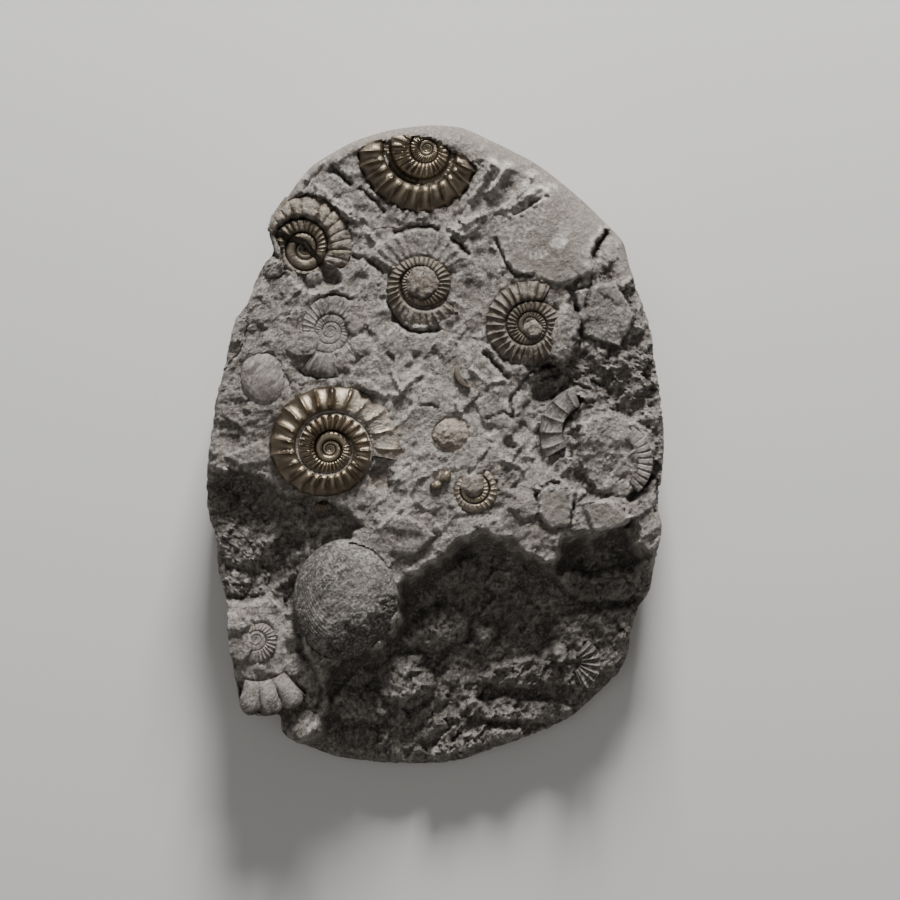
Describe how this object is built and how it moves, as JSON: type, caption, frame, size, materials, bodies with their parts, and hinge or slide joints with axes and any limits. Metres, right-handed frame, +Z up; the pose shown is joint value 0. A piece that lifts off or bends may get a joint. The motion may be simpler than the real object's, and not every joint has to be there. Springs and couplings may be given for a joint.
{
  "type": "ammonite cluster plate",
  "caption": "Rounded slab of grey mudstone with ribbed pyrite ammonites, broken whorls and smooth shells standing in its rough split face.",
  "frame": {"origin": "middle of the sawn back, at the lowest point", "axes": "+Z up out of the fossil face, +Y towards the rounded head of the slab, +X to the right when the face is seen with the head up"},
  "size_m": [0.185, 0.2599, 0.0511],
  "materials": {
    "matrix": "rough split grey mudstone with a worn beige rim",
    "ammonite_centre": "dark brown bronze pyrite, dull",
    "ammonite_corner": "grey shell, dull",
    "ammonite_grey": "grey flattened shell, dull",
    "ammonite_large": "golden bronze pyrite, ribs worn bright",
    "ammonite_left": "golden bronze pyrite, ribs worn bright",
    "ammonite_right": "dark brown bronze pyrite, dull",
    "ammonite_small": "golden bronze pyrite, ribs worn bright",
    "ammonite_top": "golden bronze pyrite, ribs worn bright",
    "bivalve_large": "pale grey shell with fine growth lines",
    "bivalve_left": "smooth grey shell",
    "bivalve_middle": "grainy grey shell",
    "pyrite_bead_lower": "golden bronze pyrite, ribs worn bright",
    "pyrite_bead_upper": "golden bronze pyrite, ribs worn bright",
    "whorl_corner": "pinkish grey rounded ribs",
    "whorl_edge": "grey ribbed shell",
    "whorl_foot": "grey ribbed shell",
    "whorl_fragment": "brownish grey ribbed shell",
    "whorl_shaded": "golden bronze pyrite, ribs worn bright",
    "whorl_sliver": "golden bronze pyrite, ribs worn bright"
  },
  "bodies": {
    "root": {"matrix": "matrix", "ammonite_centre": "ammonite_centre", "ammonite_corner": "ammonite_corner", "ammonite_grey": "ammonite_grey", "ammonite_large": "ammonite_large", "ammonite_left": "ammonite_left", "ammonite_right": "ammonite_right", "ammonite_small": "ammonite_small", "ammonite_top": "ammonite_top", "bivalve_large": "bivalve_large", "bivalve_left": "bivalve_left", "bivalve_middle": "bivalve_middle", "pyrite_bead_lower": "pyrite_bead_lower", "pyrite_bead_upper": "pyrite_bead_upper", "whorl_corner": "whorl_corner", "whorl_edge": "whorl_edge", "whorl_foot": "whorl_foot", "whorl_fragment": "whorl_fragment", "whorl_shaded": "whorl_shaded", "whorl_sliver": "whorl_sliver"}
  },
  "joints": []
}
